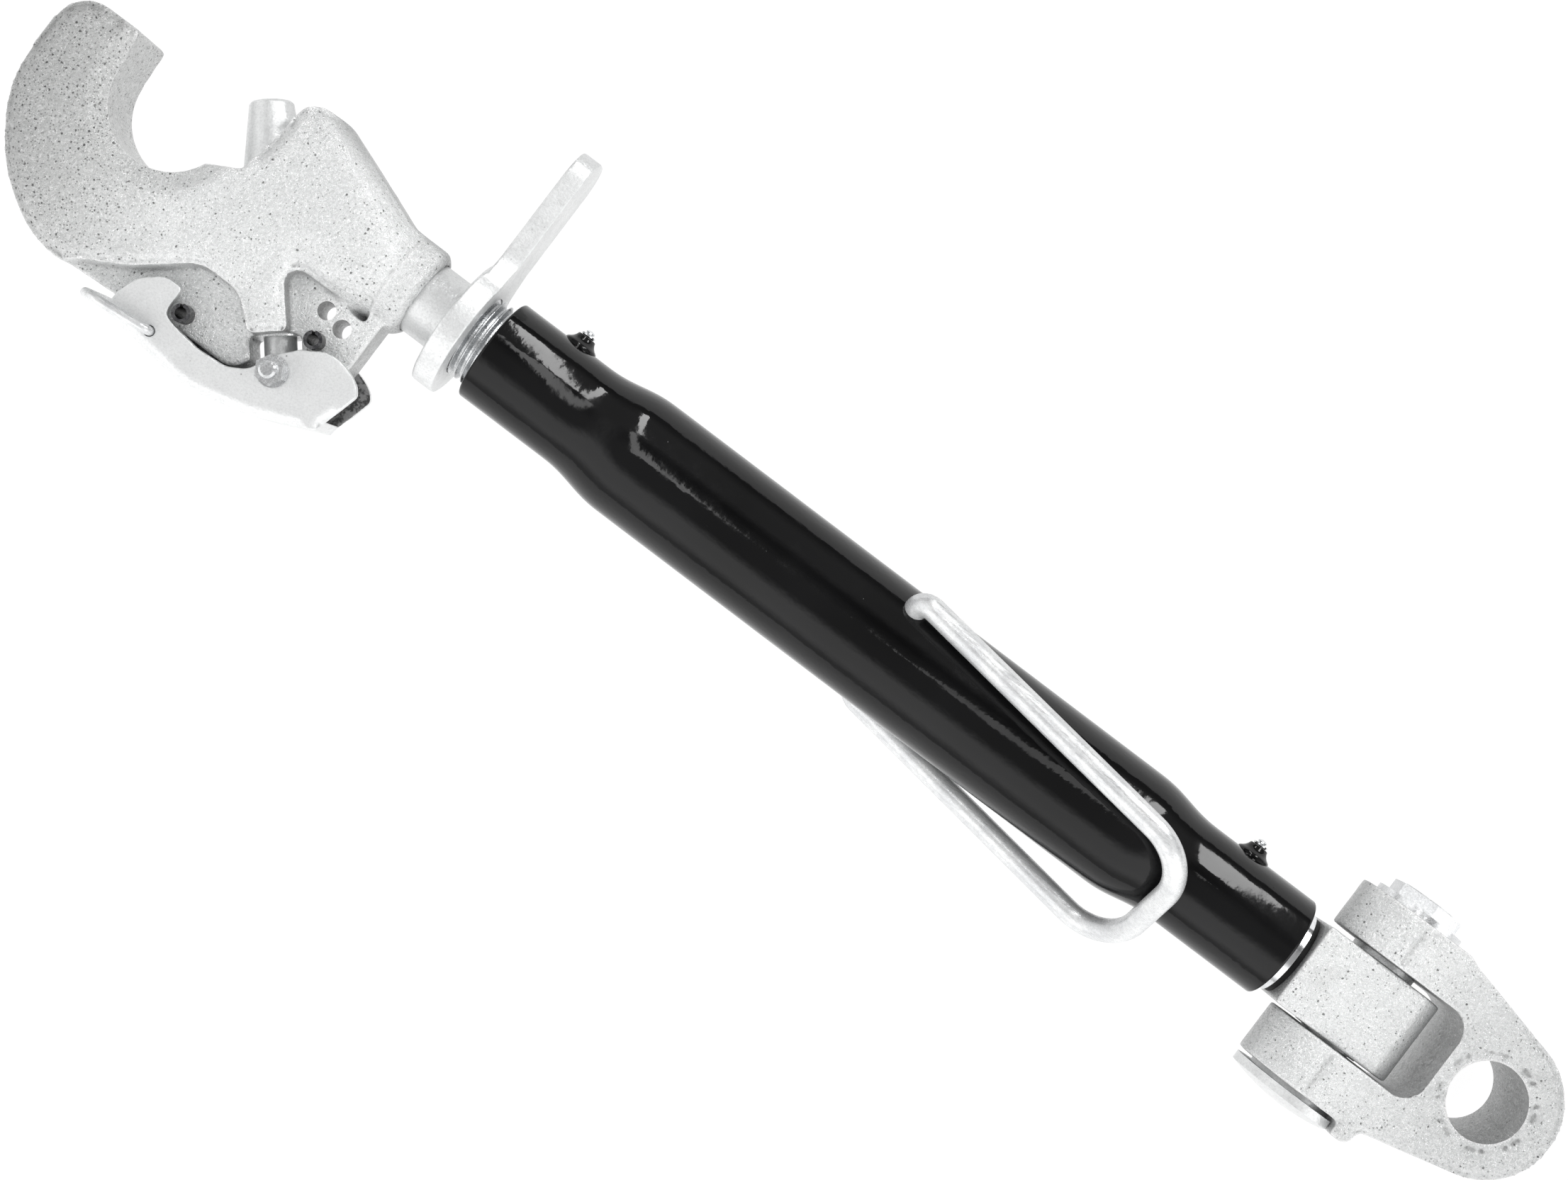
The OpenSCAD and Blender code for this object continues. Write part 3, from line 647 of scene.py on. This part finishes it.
def countersinks(name, at, radius, wide, top):
    """Two cones that open a bore's ends to the radius wide at height top."""
    made = []
    over = 0.004
    low = top - (wide - radius) * SINK_SLOPE
    for side in (1, -1):
        bm = bmesh.new()
        bmesh.ops.create_cone(
            bm, cap_ends=True, segments=160, radius1=radius, radius2=wide + over / SINK_SLOPE,
            depth=top + over - low)
        bm.transform(Matrix.Translation((0, 0, (top + over + low) / 2)))
        if side < 0:
            bm.transform(Matrix.Rotation(math.pi, 4, "X"))
        bm.transform(Matrix.Translation((at[0], at[1], 0)))
        made.append(object_from(bm, name))
    return made


def hook_forging():
    """The hook, worn round outside and machined in its seat, its plunger bore and its fin's holes."""
    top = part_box("hook_forging")[1].z

    def edge_radius(x, y):
        along = x - SEAT.x
        if (Vector((x, y, 0)) - SEAT).length < SEAT_R + SEAT_SLOPE_W + 0.006:
            return 0.003 if y > JAW_TIP_Y else 0
        if along > SOCKET_AT - 0.002:
            return 0
        if y < FIN_TOP_Y and along > 0.0:
            return 0.0028
        if along > SHOULDER_AT and y > 0:
            return 0.010
        return 0.0055

    def worn_top(x, y):
        """The slope round the seat, and the cone that narrows the body down to its round socket."""
        along = x - SEAT.x
        back = np.maximum(SOCKET_AT - along, 0)
        radius = np.where(y > FIN_TOP_Y, SOCKET_R + back * SOCKET_SPREAD + 0.0002, NO_LIMIT)
        cone = np.sqrt(np.maximum(radius ** 2 - y ** 2, 1e-8))
        cone = np.where(along > SOCKET_AT, NO_LIMIT, cone)
        out = np.hypot(along, y - SEAT.y)
        return np.where(out < SEAT_R + SEAT_SLOPE_W, seat_slope(top, out), cone)

    holes = [MOUNTS[m]["pos_m"] for m in ("fin_hole_inner", "fin_hole_outer")]
    for pin in ("fulcrum_roll_pin", "catch_roll_pin"):
        low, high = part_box(pin)
        holes.append((low + high) / 2)
    plugs = [through("plug", at, FIN_HOLE_R + 0.0002, half=0.011) for at in holes] + [seat_liner(top)]
    obj = softened(
        "hook_forging", "hook_forging_worn", 0.8, 10, 0.22, rolled=edge_radius, also=worn_top, plugs=plugs)
    cutters = [through("seat", SEAT, SEAT_R, 160)]
    bore_ends = (STUD + PLUNGER_WAY * 0.0255, STUD + PLUNGER_WAY * 0.125)
    cutters.append(bar("plunger_bore", *bore_ends, PLUNGER_BORE_R, 96))
    cutters += [through("fin_hole", at, FIN_HOLE_R) for at in holes]
    cut_away(obj, cutters)
    smooth_shading(obj.data, 40)
    return stands_for(obj, "hook_forging", finish="forged_zinc_pitted")


def fork_eye():
    """The fork, worn round outside, with its eye bored and countersunk."""
    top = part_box("fork_eye")[1].z

    def edge_radius(x, y):
        if math.hypot(x, y) < EYE_R + 0.003:
            return 0
        if x < -0.02 and -0.022 < y < 0.023:
            return 0.0016
        return 0.0026 if x < 0 else 0.0034

    plug = through("plug", (0, 0), EYE_R + 0.0025, half=top)
    obj = softened("fork_eye", "fork_eye_worn", 0.7, 6, 0.22, rolled=edge_radius, plugs=[plug])
    cutters = [through("eye", (0, 0), EYE_R, 160)]
    cutters += countersinks("eye_edge", (0, 0), EYE_R, EYE_R + 0.0011, top)
    cut_away(obj, cutters)
    smooth_shading(obj.data, 40)
    return stands_for(obj, "fork_eye")


def knuckle_block():
    """The block between the fork's lugs, with well rounded edges."""
    obj = softened("knuckle_block", "knuckle_block_worn", 0.6, 24, 0.12)
    smooth_shading(obj.data, 40)
    return stands_for(obj, "knuckle_block")


def lock_nut():
    """The nut and its arm in one forging, with a plain bore cut to the thread's size."""
    lo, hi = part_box("lock_nut")
    bore_r, past = 0.018, 0.01
    plug = bar("plug", (lo.x, 0, 0), (hi.x, 0, 0), bore_r + 0.0005)
    obj = softened("lock_nut", "lock_nut_worn", 0.55, 9, 0.12, plugs=[plug])
    cut_away(obj, [bar("thread", (lo.x - past, 0, 0), (hi.x + past, 0, 0), bore_r, 96)])
    smooth_shading(obj.data, 40)
    return stands_for(obj, "lock_nut")


def latch_lever():
    """The folded lever: the bends of its spine are rounded, its cut edges stay as they are."""
    def edge_radius(x, y):
        along = x - SEAT.x
        if (Vector((x, y, 0)) - RING_AT).length < 0.004:
            return 0
        spine_y = -0.0700 if along < 0.12 else -0.0580
        return 0.0042 if y < spine_y and along > 0.0275 else 0

    obj = softened("latch_lever", "latch_lever_pressed", 0.5, 10, 0.05, rolled=edge_radius)
    cut_away(obj, [through("ring_hole", RING_AT, 0.0023)])
    smooth_shading(obj.data, 55)
    return stands_for(obj, "latch_lever", finish="lever_plate")


def pin_nut():
    """The knuckle pin's nut in a brighter finish; its shape is the CAD's, with no cross hole."""
    obj = new_object("pin_nut_cut", NODES["pin_nut"].data.copy())
    smooth_shading(obj.data, 30)
    return stands_for(obj, "pin_nut", finish="turned_steel")


pin_nut()
hook_forging()
fork_eye()
knuckle_block()
lock_nut()
latch_lever()

# ---------------------------------------------------------------- screws, tube, nipples, spring

PITCH = 0.003
THREAD_R = 0.01795
THREAD_DEPTH = 0.00184


def threaded(name, x0, x1, hand):
    """A threaded bar along X; its rows of vertices follow the helix, hand is 1 for a right-hand thread."""
    # One pitch as (share of the pitch, depth): a flat crest, a flank, a flat root and the way back up
    wave = ((0.0, 0.0), (0.125, 0.0), (0.5, THREAD_DEPTH), (0.75, THREAD_DEPTH))
    around = 96
    turns = int((x1 - x0) / PITCH) + 4
    lead_in = 0.002
    verts = [(x0, 0, 0), (x1, 0, 0)]
    for i in range(around + 1):
        a = 2 * math.pi * i / around
        for k in range(turns * 4):
            share, drop = wave[k % 4]
            x = x0 - 2 * PITCH + PITCH * (k // 4 + share + i / around)
            x = min(max(x, x0), x1)
            r = min(THREAD_R - drop, THREAD_R - THREAD_DEPTH + min(x - x0, x1 - x, lead_in))
            verts.append((x, r * math.cos(hand * a), r * math.sin(hand * a)))
    row = turns * 4
    faces = []
    for i in range(around):
        p, q = 2 + i * row, 2 + (i + 1) * row
        faces += [(p + k, q + k, q + k + 1, p + k + 1) for k in range(row - 1)]
        faces.append((0, q, p))
        faces.append((1, p + row - 1, q + row - 1))
    return solid(name, verts, faces, weld=2e-6, collapse=1e-7)


def threads_shown(obj, edge):
    """Give the thread, on the side of the edge with more vertices, the darker and shinier finish."""
    obj.data.materials.append(FINISHES["thread"].mat)
    ahead = sum(v.co.x > edge for v in obj.data.vertices) > len(obj.data.vertices) / 2
    for face in obj.data.polygons:
        if (face.center.x > edge) == ahead:
            face.material_index = 1
    return obj


def hook_screw():
    """The neck, plain up to the lock nut, and the right-hand screw beyond it."""
    lo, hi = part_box("hook_screw")
    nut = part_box("lock_nut")[0].x
    neck_r = 0.0155
    neck = lathe("hook_neck", [
        (lo.x, 0), (lo.x, neck_r), (nut - 0.0012, neck_r), (nut, neck_r + 0.0006), (nut, 0)])
    screw = joined(threaded("hook_screw_thread", nut, hi.x, 1), neck)
    return threads_shown(stands_for(screw, "hook_screw"), nut)


def eye_screw():
    """The left-hand screw, its plain shank through the seal ring and its spigot in the block."""
    lo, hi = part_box("eye_screw")
    tube_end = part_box("tube")[1].x
    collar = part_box("seal_ring")[0].x
    plain = tube_end - 0.0015
    spigot_r = 0.015
    shank = lathe("eye_shank", [
        (plain - 0.001, 0), (plain - 0.001, 0.0161), (plain, THREAD_R), (collar, THREAD_R),
        (collar, spigot_r), (hi.x, spigot_r), (hi.x, 0)])
    screw = joined(threaded("eye_screw_thread", lo.x, plain, -1), shank)
    return threads_shown(stands_for(screw, "eye_screw"), plain)


def swage(x, x0, x1, r0, r1):
    """Radius of a swaged shoulder between two plain lengths."""
    t = min(max((x - x0) / (x1 - x0), 0), 1)
    return r0 + (r1 - r0) * t * t * t * (t * (6 * t - 15) + 10)


def tube():
    """The tube with its swaged ends, recessed mouths and the two holes that the bail hooks into."""
    lo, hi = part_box("tube")
    mid_r, end_r, wall, edge, bore = hi.z, 0.0222, 0.005, 0.0011, 0.018
    recess, recess_r = 0.005, 0.0204
    shoulders = ((lo.x + 0.040, lo.x + 0.073), (hi.x - 0.080, hi.x - 0.047))
    round_edge = [math.radians(15 * k) for k in range(7)]
    corner = [(edge * (1 - math.sin(a)), end_r - edge * (1 - math.cos(a))) for a in round_edge]
    (a0, a1), (b0, b1) = shoulders
    steps = 24
    outer = [(lo.x + inward, r) for inward, r in reversed(corner)]
    for x0, x1, r0, r1 in ((a0, a1, end_r, mid_r), (b0, b1, mid_r, end_r)):
        stations = [x0 + (x1 - x0) * k / steps for k in range(steps + 1)]
        outer += [(x, swage(x, x0, x1, r0, r1)) for x in stations]
    outer += [(hi.x - inward, r) for inward, r in corner]
    inner = [(hi.x, recess_r), (hi.x - recess, recess_r), (hi.x - recess, bore), (b1, bore),
             (b0, mid_r - wall), (a1, mid_r - wall), (a0, bore), (lo.x + recess, bore),
             (lo.x + recess, recess_r), (lo.x, recess_r)]
    obj = lathe("tube_painted", outer + inner, 192)
    pivot = Vector(JOINTS["bail_swing"]["pos_m"])
    way = Vector(JOINTS["bail_swing"]["axis"]).normalized() * 0.05
    bail_hole_r = 0.00485
    for side in (1, -1):
        cut_away(obj, [bar("bail_hole", pivot, pivot + way * side, bail_hole_r)])
    smooth_shading(obj.data)
    return stands_for(obj, "tube")


def nipples():
    """Weld-on bosses with hollowed flanks, and ball-headed grease nipples on top of them."""
    bosses = []
    heads = []
    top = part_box("nipple_bosses")[1].y
    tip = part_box("grease_nipples")[1].y
    for name in ("grease_nipple_hook_end", "grease_nipple_eye_end"):
        x = MOUNTS[name]["pos_m"][0]
        bosses.append(lathe(name + "_boss", [
            (0.0195, 0), (0.0195, 0.0072), (0.0222, 0.0072), (0.0228, 0.0068), (0.0234, 0.0059),
            (0.0242, 0.0050), (0.0252, 0.0043), (top - 0.0003, 0.0040), (top, 0.0036), (top, 0)],
            64, "Y", (x, 0, 0)))
        heads.append(lathe(name + "_head", [
            (top - 0.002, 0), (top - 0.002, 0.0016), (top + 0.0001, 0.0016),
            (top + 0.0001, 0.0024), (top + 0.0005, 0.0030), (top + 0.0011, 0.0031),
            (top + 0.0013, 0.0018), (top + 0.0015, 0.0016), (top + 0.0018, 0.0018),
            (tip - 0.0008, 0.0020), (tip - 0.0003, 0.0015), (tip, 0.0006), (tip, 0)],
            48, "Y", (x, 0, 0)))
    stands_for(joined(*bosses), "nipple_bosses")
    stands_for(joined(*heads), "grease_nipples")


def plunger_spring():
    """A smooth helix in place of the CAD's straight-sided one."""
    low, high = 0.0252, 0.0568  # its ends along the plunger's way, measured from the lever's stud
    wire_r, coil_r = 0.0011, 0.0094
    turns, around, sides = 4.5, 48, 12
    up = PLUNGER_WAY
    u = Vector((0, 0, 1))
    v = up.cross(u)
    count = int(turns * around)
    verts = []
    for i in range(count + 1):
        a = 2 * math.pi * i / around
        out = u * math.cos(a) + v * math.sin(a)
        centre = STUD + up * (low + (high - low) * i / count) + out * coil_r
        for k in range(sides):
            b = 2 * math.pi * k / sides
            verts.append(centre + out * (wire_r * math.cos(b)) + up * (wire_r * math.sin(b)))
    faces = [tuple(range(sides)), tuple(count * sides + k for k in reversed(range(sides)))]
    for i in range(count):
        for k in range(sides):
            m = (k + 1) % sides
            faces.append((i * sides + k, i * sides + sides + k, i * sides + sides + m, i * sides + m))
    mesh = bpy.data.meshes.new("plunger_spring_coil")
    mesh.from_pydata(verts, [], faces)
    obj = new_object("plunger_spring_coil", mesh)
    smooth_shading(mesh, 50)
    stands_for(obj, "plunger_spring")
    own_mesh(obj)


hook_screw()
eye_screw()
tube()
nipples()
plunger_spring()

# ---------------------------------------------------------------- the CAD nodes that stay

OTHER_FINISH = {n: "turned_steel" for n in ("pin_washer", "stud_nuts", "lever_stud")}
OTHER_FINISH["locking_plunger"] = "zinc_plate"
for node, obj in NODES.items():
    paint(obj, FINISHES[OTHER_FINISH.get(node, SLOT_OF[node])])
    smooth_shading(obj.data, 30)

# The frame's meshes are split along their sharp edges, where this modifier doesn't act. On the plunger it
# rounds only the edges that are still joined, and leaves a few open
edges = NODES["locking_plunger"].modifiers.new("edges", "BEVEL")
edges.width = 0.5 * MM
edges.segments = 3
edges.limit_method = "ANGLE"
edges.angle_limit = math.radians(30)

# ---------------------------------------------------------------- studio

FLOOR_REACH = 9
lowest = min(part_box(n)[0].z for n in NODES)
corners = [(x * FLOOR_REACH, y * FLOOR_REACH, lowest) for x, y in ((-1, -1), (1, -1), (1, 1), (-1, 1))]
floor_mesh = bpy.data.meshes.new("floor")
floor_mesh.from_pydata(corners, [], [(0, 1, 2, 3)])
floor = new_object("floor", floor_mesh)
floor_look = Nodes("pale_floor")
paint(floor, floor_look.finish((0.10, 0.10, 0.10), 0.9, Emission_Strength=0.97))
floor_look.shader.inputs["Emission Color"].default_value = (1, 1, 1, 1)

world = bpy.data.worlds.new("studio")
bpy.context.scene.world = world
world.use_nodes = True
tree = world.node_tree
tree.nodes.clear()
out = tree.nodes.new("ShaderNodeOutputWorld")
sky = tree.nodes.new("ShaderNodeBackground")
place = tree.nodes.new("ShaderNodeTexCoord")
split = tree.nodes.new("ShaderNodeSeparateXYZ")


def sky_step(socket, start, end, low, high):
    """Smooth passage from low to high along one coordinate of the direction."""
    node = tree.nodes.new("ShaderNodeMapRange")
    set_range(node, start, end, low, high)
    tree.links.new(split.outputs[socket], node.inputs["Value"])
    return node.outputs["Result"]


def sky_product(*factors):
    """All the factors multiplied."""
    made = factors[0]
    for factor in factors[1:]:
        node = tree.nodes.new("ShaderNodeMath")
        node.operation = "MULTIPLY"
        tree.links.new(made, node.inputs[0])
        tree.links.new(factor, node.inputs[1])
        made = node.outputs[0]
    return made


tree.links.new(place.outputs["Generated"], split.inputs[0])
# A bright band half way up, darker at the horizon, overhead and on the side of the soft boxes, and a
# little brighter beyond the eye than beyond the hook
strength = sky_product(
    sky_step("Z", 0.05, 0.40, 0.42, 1.12), sky_step("Z", 0.74, 0.92, 1.80, 0.42),
    sky_step("Y", 0.0, 0.5, 1.0, 0.30),
    sky_step("X", -0.9, -0.40, 0.72, 1.0), sky_step("X", 0.40, 0.95, 1.0, 1.30))
tree.links.new(strength, sky.inputs["Strength"])
tree.links.new(sky.outputs[0], out.inputs[0])


def softbox(name, at, towards, size, power):
    """A rectangular lamp that shows only in reflections: it adds streaks, not light."""
    light = bpy.data.lights.new(name, "AREA")
    light.shape = "RECTANGLE"
    light.size, light.size_y = size
    light.energy = power
    obj = bpy.data.objects.new(name, light)
    obj.location = at
    obj.rotation_euler = (Vector(towards) - Vector(at)).to_track_quat("-Z", "Y").to_euler()
    obj.visible_diffuse = False
    bpy.context.scene.collection.objects.link(obj)


softbox("box_hook_side", (-0.70, 1.05, 0.70), (-0.45, 0, 0), (0.13, 0.9), 4.8)
softbox("box_eye_side", (0.12, 1.05, 0.75), (-0.15, 0, 0), (0.25, 0.90), 8.0)
softbox("box_over_hook", (-0.66, 0.49, 1.42), (-0.45, 0, 0), (0.19, 0.85), 2.0)
softbox("box_over_eye", (0.0, 0.30, 1.6), (-0.21, 0, 0), (0.20, 0.50), 0.6)

camera_data = bpy.data.cameras.new("camera")
camera = bpy.data.objects.new("camera", camera_data)
bpy.context.scene.collection.objects.link(camera)
bpy.context.scene.camera = camera
# Straight down from a metre up, over the middle of the link, which runs down to the right in the frame
VIEW_CENTRE = (-0.3353, -0.0062)
VIEW_HEIGHT = 1.0
VIEW_WIDTH = 0.6194
VIEW_TURN = math.radians(37.15)
SENSOR_MM = 36
camera.location = (*VIEW_CENTRE, VIEW_HEIGHT)
camera.rotation_euler = (0, 0, VIEW_TURN)
camera_data.sensor_width = SENSOR_MM
camera_data.lens = SENSOR_MM * VIEW_HEIGHT / VIEW_WIDTH
camera_data.clip_start = 0.01

bpy.context.scene.view_settings.view_transform = "Standard"
